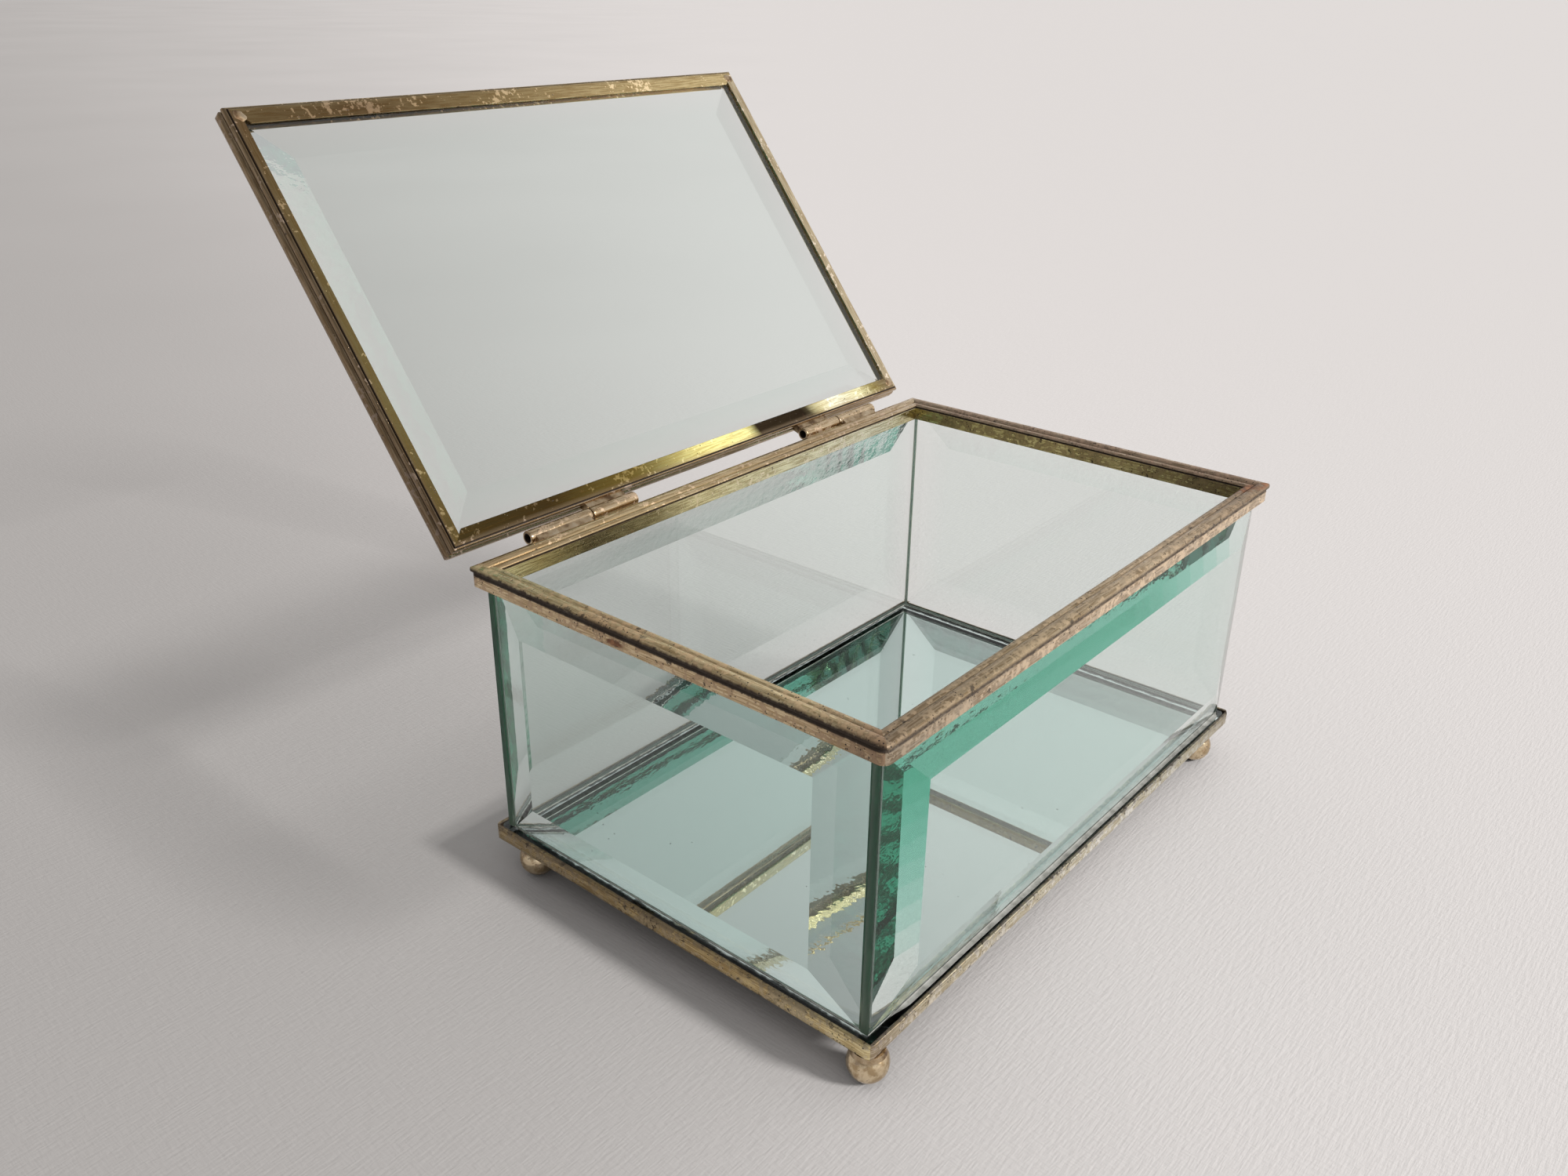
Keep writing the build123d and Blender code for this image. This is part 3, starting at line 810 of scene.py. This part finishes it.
def share_between(value, low, high):
    """A smooth step of an array between two values."""
    share = np.clip((value - low) / (high - low), 0, 1)
    return share * share * (3 - 2 * share)


def mixed(share, first, second):
    """Tones blended by a share for every point."""
    return first + share[..., None] * (second - first)


def values_along(stops, side, distance):
    """Values between named places along a strip, straight lines from one place to the next."""
    places, *columns = zip(*stops)
    place_mm = distance * AXIS_SIGN[side] / MM
    return np.stack([np.interp(place_mm, places, column) for column in columns], -1)


def rim_rust(side, distance, across):
    """Rust on the front rail's bead at its right end, and one spot on the left rail's flange.

    Distance is a place along the rail, as above, and across runs round its section, in mm.
    """
    if side == "front":
        return 0.34 * share_between(distance, 60, 70) * share_between(across, 4.6, 5.6)
    if side == "left":
        spot = np.hypot((distance + 8) / 2.4, (across - 1.6) / 1.3)
        return 0.75 * share_between(-spot, -1.0, -0.2)
    return 0.0


def make_rails():
    """The rim's channel opens down over the walls; the lid's is turned to open inwards."""
    out, up = PROFILE.T
    across = across_distance(PROFILE)
    flange_part = up < FLANGE_HEIGHT
    outer_flange = ((out > OUTER_FACE_X) & flange_part).astype(float)
    inner_flange = ((out < INNER_FACE_X) & flange_part).astype(float)
    rim_radius = {side: np.where(flange_part, np.array(ends)[:, None] * MM, BEAD_RADIUS)
                  for side, ends in FLANGE_RADIUS.items()}
    rim_overhang = np.where(flange_part, 0.0, BEAD_OVERHANG)
    lid_edge = 1.0 - share_between(up, 3.0 * MM, 3.5 * MM)
    for index, side in enumerate(SIDES):
        distance = stations(len(PROFILE)) * (CASE_X if side in LONG_SIDES else CASE_Y)
        # Tones with painted light and reflections in them, from the tables above.
        tint = mixed(outer_flange, values_along(RIM_BEAD_TONES_AND_REFLECTIONS[side], side, distance),
                     values_along(RIM_FLANGE_TONES_AND_REFLECTIONS[side], side, distance))
        tint = mixed(inner_flange, tint, values_along(RIM_INSIDE_TONES_AND_REFLECTIONS[side], side, distance))
        # Painted shade and dirt in the grooves, stronger on some rails than on others.
        dirt = np.clip(PROFILE_SHADE_AND_DIRT * GROOVE_SHADE_AND_DIRT[side], 0, 1)
        sweep_side(f"rim_rail_{side}", side, PROFILE, dirt, (out, up), (CASE_X, CASE_Y),
                   rim_overhang, rim_radius[side], RIM_BOTTOM, RIM_METAL[side], "box",
                   f"rim_{side}", phase=1.3 * index, wander=RAIL_WANDER, tint=tint,
                   rust=rim_rust(side, distance / MM, across / MM))
        section = shift_flange(PROFILE, LID_FLANGE_SHIFT[side] * MM)
        tint = mixed(lid_edge, values_along(LID_EDGE_TONES_AND_REFLECTIONS[side], side, distance),
                     values_along(LID_TONES_AND_REFLECTIONS[side], side, distance))
        haze = values_along(HINGE_RAIL_HAZE, side, distance)[..., 0] if side == "back" else 0.0
        sweep_side(f"lid_rail_{side}", side, section, PROFILE_SHADE_AND_DIRT,
                   (section[:, 1] - CHANNEL_HEIGHT, section[:, 0] + CHANNEL_WIDTH),
                   (LID_X, LID_Y), 0.0, BEAD_RADIUS, LID_UNDER, LID_BRASS, "lid",
                   f"lid_frame_{side}", phase=5.0 + 1.7 * index, wander=RAIL_WANDER, tint=tint,
                   haze=haze)


FRONT_STRIP_WEAR = 0.28 * MM
STRIP_WANDER = 0.06 * MM


def make_base_strips():
    """A thin strip bent to an angle: an upright face with worn edges and a lip under the mirror."""
    top = (BASE_TOP - BASE_BOTTOM) / MM
    section = np.array([
        (-7.0, 0.5), (-3.0, 0.5), (-0.6, 0.5), (-0.86, 0.9), (-0.86, top - 0.12), (-0.74, top),
        (-0.14, top), (-0.02, top - 0.12), (0.0, top - 0.5), (0.0, top - 1.1), (0.0, 1.6),
        (0.0, 0.9), (-0.04, 0.5), (-0.16, 0.2), (-0.40, 0.03), (-0.8, 0.0), (-3.0, 0.0),
        (-7.0, 0.0),
    ])
    # Painted shade and dirt for each section point: darkest on the inner face, dark over the lip
    # and the top edge, fading down the upper front face.
    recess = [0.5, 0.5, 0.9, 0.9, 0.9, 0.62, 0.45, 0.45, 0.42, 0.26, 0.0, 0.0, 0.1, 0.3, 0.45,
              0.5, 0.3, 0.3]
    upper = share_between(section[:, 1], 1.3, top - 1.2)
    section = section * MM

    def sink(along_side):
        """The front strip is worn lower than the others; it rises to them at the left corner."""
        return FRONT_STRIP_WEAR * upper * share_between(along_side / MM, -78.5, -70)

    for index, side in enumerate(SIDES):
        distance = stations(len(section)) * (BASE_X if side in LONG_SIDES else BASE_Y)
        sweep_side(f"base_edge_{side}", side, section, recess, section.T, (BASE_X, BASE_Y), 0.0,
                   MIRROR_CORNER, BASE_BOTTOM, BASE_BRASS, "box", f"base_strip_{side}",
                   phase=9.0 + 2.3 * index, wander=STRIP_WANDER,
                   tint=values_along(STRIP_TONES_AND_REFLECTIONS[side], side, distance),
                   sink=sink if side == "front" else None)


# ---------------------------------------------------------------- glue
GLUE_WIDTH = 1.15 * MM
GLUE_RISE = 0.42 * MM
GLUE_LIFT = 0.01 * MM
WALL_SETBACK = 2.38 * MM
# Where the glue starts and where it is full, in mm from the left and the right corner.
GLUE_LEFT_END = (8, 15)
GLUE_RIGHT_END = (3, 5)


def make_front_bead():
    """Old pale glue along the foot of the front wall: a small hollow fillet on the mirror's ledge.

    Its section is a quarter hollow from the wall down to the ledge. The size swells and shrinks
    slowly along the run, and tapers off at both ends.
    """
    left, left_full = GLUE_LEFT_END
    right, right_full = GLUE_RIGHT_END
    x = np.linspace(left * MM - BASE_X, BASE_X - right * MM, 200)[:, None]
    size = (share_between((BASE_X + x) / MM, left, left_full)
            * share_between((BASE_X - x) / MM, right, right_full))
    size = 0.1 + 0.9 * size + unevenness(x, phase=2.0, size=0.18)
    turn = np.linspace(0, math.pi / 2, 7)
    wall_y = WALL_SETBACK - BASE_Y
    ledge_z = MIRROR_HIGH.z + GLUE_LIFT
    y = wall_y - GLUE_WIDTH * size * (1 - np.cos(turn))
    z = ledge_z + GLUE_LIFT + GLUE_RISE * size * (1 - np.sin(turn))
    y = np.concatenate([y, np.full_like(x, wall_y)], 1)
    z = np.concatenate([z, np.full_like(x, ledge_z)], 1)
    ring = np.stack([np.broadcast_to(x, y.shape), y, z], -1)
    piece = make_piece("front_glue_bead", ring.reshape(-1, 3), capped_faces(*y.shape), GLUE, "box",
                       "bedding", smooth=True)
    face_outwards(piece, crease_deg=50.0)


# ---------------------------------------------------------------- feet and hinges
def lathe(profile, turns):
    """A profile of (radius, height) turned about Z: rows are turns, columns profile points."""
    angle = np.linspace(0, 2 * math.pi, turns, endpoint=False)
    radius, height = profile[:, 0], profile[:, 1]
    x = np.cos(angle)[:, None] * radius
    y = np.sin(angle)[:, None] * radius
    z = np.broadcast_to(height, x.shape)
    return np.stack([x, y, z], -1)


def bumps(points, seed, size, pace):
    """A smooth lumpy offset for points: the mean of sines in seeded directions, times size."""
    source = np.random.default_rng(seed)
    directions = source.normal(size=(7, 3))
    directions /= np.linalg.norm(directions, axis=1)[:, None]
    phases = source.uniform(0, 2 * math.pi, 7)
    paces = pace * source.uniform(0.6, 1.5, 7)
    return size * np.sin(points @ (directions * paces[:, None]).T + phases).mean(-1)


BALL_RADIUS = 4.25 * MM
BALL_SINK = 0.15 * MM
BALL_TURNS = 64
BALL_ROWS = 49
POLE_RADIUS = 0.02 * MM
# How deep the dents may be, and how closely they follow each other.
WIDE_DENTS = (0.16 * MM, 5.0)
SMALL_DENTS = (0.05 * MM, 17.0)
# How far painted shade reaches down the ball from its seat under the frame.
SEAT_SHADE = 0.9 * MM


def make_feet():
    """Ball feet: near-spheres with hammered dents, filed flat below and at the seat."""
    angle = np.linspace(-math.pi / 2, math.pi / 2, BALL_ROWS)
    profile = np.stack([np.cos(angle), np.sin(angle)], -1) * BALL_RADIUS
    profile[0, 0] = profile[-1, 0] = POLE_RADIUS
    ball = lathe(profile, BALL_TURNS).reshape(-1, 3)
    unit = ball / np.linalg.norm(ball, axis=1)[:, None]
    faces = grid_faces(BALL_TURNS, BALL_ROWS, wrap_columns=False, wrap_rows=True)
    poles = [row * BALL_ROWS for row in range(BALL_TURNS)]
    faces += [poles[::-1], [pole + BALL_ROWS - 1 for pole in poles]]
    for index, corner in enumerate(("front_left", "front_right", "back_left", "back_right")):
        low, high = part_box(f"foot_{corner}")
        centre = (low.x + high.x) / 2, (low.y + high.y) / 2, BALL_RADIUS - BALL_SINK
        dents = -np.abs(bumps(unit, 11 + index, *WIDE_DENTS))
        dents -= np.abs(bumps(unit, 31 + index, *SMALL_DENTS))
        points = ball + unit * dents[:, None] + centre
        points[:, 2] = np.clip(points[:, 2], low.z, high.z)
        # The ball is painted darker towards its seat: painted shade under the frame.
        recess = 0.8 * np.clip(1 - (high.z - points[:, 2]) / SEAT_SHADE, 0, 1)
        piece = make_piece(f"ball_foot_{corner}", points, faces, FOOT_BRASS, "box", "foot_brass",
                           f"foot_{corner}", smooth=True, recess=recess)
        face_outwards(piece)


TUBE_SWELL = 1.09
TUBE_BORE = 0.667
TUBE_ROLL = 0.28 * MM
TUBE_TURNS = 48


def tube_piece(name, node, body, seed):
    """A drawn tube along X: an outer wall with rolled ends, and its bore."""
    low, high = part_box(node)
    drawn = (high.z - low.z) / 2
    outer, bore, length = drawn * TUBE_SWELL, drawn * TUBE_BORE, high.x - low.x
    turn = np.linspace(0, math.pi / 2, 5)
    left = np.stack([outer + TUBE_ROLL * (np.sin(turn) - 1), TUBE_ROLL * (1 - np.cos(turn))], -1)
    right = np.stack([left[::-1, 0], length - left[::-1, 1]], -1)
    middle = np.linspace(TUBE_ROLL, length - TUBE_ROLL, 26)[1:-1]
    outside = np.column_stack([np.full_like(middle, outer), middle])
    profile = np.concatenate([left, outside, right, [(bore, length), (bore, 0.0)]])
    shape = (TUBE_TURNS, len(profile))
    x, y, z = np.moveaxis(lathe(profile, TUBE_TURNS), -1, 0)
    points = np.stack([z + low.x, x + (low.y + high.y) / 2, y + (low.z + high.z) / 2], -1)
    # The bore is painted dark: painted shade inside the tube.
    shaded_bore = np.zeros(shape)
    shaded_bore[:, -2:] = 1.0
    angle = np.linspace(0, 2 * math.pi, TUBE_TURNS, endpoint=False)[:, None]
    flow = np.stack([np.broadcast_to(profile[:, 1], shape),
                     np.broadcast_to(outer * np.abs(angle - math.pi), shape),
                     np.full(shape, float(seed))], -1)
    piece = make_piece(name, points.reshape(-1, 3), grid_faces(*shape, wrap_rows=True), TUBE_BRASS,
                       body, "hinge_tube", node, smooth=True, recess=shaded_bore.ravel(),
                       flow=flow.reshape(-1, 3))
    face_outwards(piece, crease_deg=40.0)


def make_hinges():
    for seed, (side, body) in enumerate((
            ("left", "box"), ("left", "lid"), ("right", "lid"), ("right", "box")), 3):
        tube_piece(f"hinge_tube_{side}_{body}", f"hinge_{side}_{body}_knuckle", body, seed)


SMEAR_RADIUS = 1.35 * MM
SMEAR_RISE = 0.12 * MM
SMEAR_INSET = 3.1 * MM
SMEAR_LUMPS = (0.03 * MM, 2600.0)
SMEAR_RINGS = 9
SMEAR_TURNS = 36


def make_corner_solder():
    """A smear of solder over three mitres under the lid: a flat dome on a wandering round outline.

    The rise is one less the square of the share of the radius, with small lumps on it. Its last
    ring goes straight up into the frame.
    """
    share = np.linspace(0.03, 1.0, SMEAR_RINGS)[:, None]
    turn = np.linspace(0, 2 * math.pi, SMEAR_TURNS, endpoint=False)
    for index, (side_x, side_y) in enumerate(((-1, -1), (1, -1), (1, 1))):
        outline = 1.0 + 0.14 * np.sin(2 * turn + index) + 0.07 * np.sin(5 * turn + 2.0 * index)
        x = side_x * (LID_X - SMEAR_INSET) + SMEAR_RADIUS * share * outline * np.cos(turn)
        y = side_y * (LID_Y - SMEAR_INSET) + SMEAR_RADIUS * share * outline * np.sin(turn)
        dome = np.broadcast_to(1 - share ** 2, x.shape)
        points = np.stack([x, y, LID_UNDER - SMEAR_RISE * dome], -1).reshape(-1, 3)
        points[:, 2] -= bumps(points, 51 + index, *SMEAR_LUMPS) * dome.ravel()
        points = np.concatenate([points, points[-SMEAR_TURNS:] + (0, 0, SMEAR_RISE)])
        piece = make_piece(f"corner_solder_{index + 1}", to_open(points),
                           capped_faces(SMEAR_RINGS + 1, SMEAR_TURNS), SOLDER, "lid", "solder",
                           smooth=True)
        face_outwards(piece)


# ---------------------------------------------------------------- nodes that keep their solids
DRESS = {
    "foot_solder": SOLDER, "hinge_solder_box": SOLDER, "hinge_solder_lid": SOLDER,
    "wall_bedding": BEDDING, "hinge_left_pin": WIRE_BRASS, "hinge_right_pin": WIRE_BRASS,
}


def dress_nodes():
    for node, material in DRESS.items():
        for spot in frame["nodes"][node].material_slots:
            spot.material = material


# ---------------------------------------------------------------- studio
FLOOR_REACH = 60.0


def make_stage():
    mesh = bpy.data.meshes.new("floor")
    signs = ((-1, -1), (1, -1), (1, 1), (-1, 1))
    mesh.from_pydata([(x * FLOOR_REACH, y * FLOOR_REACH, 0) for x, y in signs], [], [(0, 1, 2, 3)])
    mesh.materials.append(FLOOR)
    floor = bpy.data.objects.new("floor", mesh)
    bpy.context.scene.collection.objects.link(floor)


def soft_sun(name, comes_from, strength, spread_deg, colour):
    """Even light from one part of the sky; the wider its spread, the softer its shadows."""
    data = bpy.data.lights.new(name, "SUN")
    data.energy = strength
    data.angle = math.radians(spread_deg)
    data.color = colour
    light = bpy.data.objects.new(name, data)
    light.rotation_euler = Vector(comes_from).to_track_quat("Z", "Y").to_euler()
    bpy.context.scene.collection.objects.link(light)
    return light


KEY_FROM = (0.29, -0.92, 0.53)
KEY_STRENGTH = 2.5
KEY_SPREAD = 11.0
DOME_STRENGTH = 0.45
DOME_SPREAD = 110.0
ROOM_DIM = 0.34
ROOM_LIT = 0.36
LIGHT_BOUNCES = 96


def make_world():
    """A pale room: a light belt low down, a backdrop behind, a dim ceiling, lit from the right."""
    world = bpy.data.worlds.new("studio")
    bpy.context.scene.world = world
    world.use_nodes = True
    tree = world.node_tree
    tree.nodes.clear()
    where = place(tree, "Generated")
    height = along(tree, where, (0.0, 0.0, 1.0))
    behind = along(tree, where, (0.77, 0.64, 0.0))
    right = along(tree, where, (0.64, -0.77, 0.0))
    belt = ramp(tree, height, 0.12, 0.42, 1.0, 0.0)
    backdrop = times(tree, ramp(tree, height, 0.50, 0.85, 1.0, 0.0), ramp(tree, behind, -0.1, 0.5))
    cover = larger(tree, belt, backdrop)
    sideways = ramp(tree, right, -0.40, 0.35, 0.66, 1.12)
    level = times(tree, plus(tree, times(tree, cover, ROOM_LIT), ROOM_DIM), sideways)
    background = add_node(tree, "Background", Color=(1.0, 0.985, 0.98, 1.0), Strength=level)
    add_node(tree, "OutputWorld", Surface=background.outputs[0])


def share_light(light, receivers, blockers):
    """Lets a lamp light some pieces only, and cast the shadows of some pieces only."""
    for role, pieces in (("receiver", receivers), ("blocker", blockers)):
        group = bpy.data.collections.new(f"{light.name}_{role}s")
        for piece in pieces:
            group.objects.link(piece)
        setattr(light.light_linking, f"{role}_collection", group)


def make_lights():
    """A low key from the front right and a soft dome.

    The lamps pass through the clear panes and are not mirrored in them; what the glass and the
    mirror show is the pale room alone.
    """
    key = soft_sun("key", KEY_FROM, KEY_STRENGTH, KEY_SPREAD, (1.0, 0.985, 0.965))
    dome = soft_sun("dome", (0, 0, 1), DOME_STRENGTH, DOME_SPREAD, (1.0, 0.985, 0.98))
    dome.visible_glossy = False
    shown = [piece for piece in bpy.context.scene.objects
             if piece.type == "MESH" and not piece.hide_render]
    solid = [piece for piece in shown if not piece.name.startswith(("pane_", "mirror_plate"))]
    lit = [piece for piece in solid if not piece.name.startswith("mirror_")]
    for light in (key, dome):
        share_light(light, lit, solid)


def set_light_paths():
    """Light in plate glass seen edge-on bounces many times; tones are shown as they are."""
    cycles = bpy.context.scene.cycles
    cycles.max_bounces = cycles.transmission_bounces = cycles.glossy_bounces = LIGHT_BOUNCES
    cycles.diffuse_bounces = 4
    cycles.caustics_reflective = False
    bpy.context.scene.view_settings.view_transform = "Standard"


make_walls()
make_lid_glass()
make_mirror()
make_rails()
make_base_strips()
make_front_bead()
make_feet()
make_hinges()
make_corner_solder()
dress_nodes()
make_stage()
make_world()
make_lights()
set_light_paths()
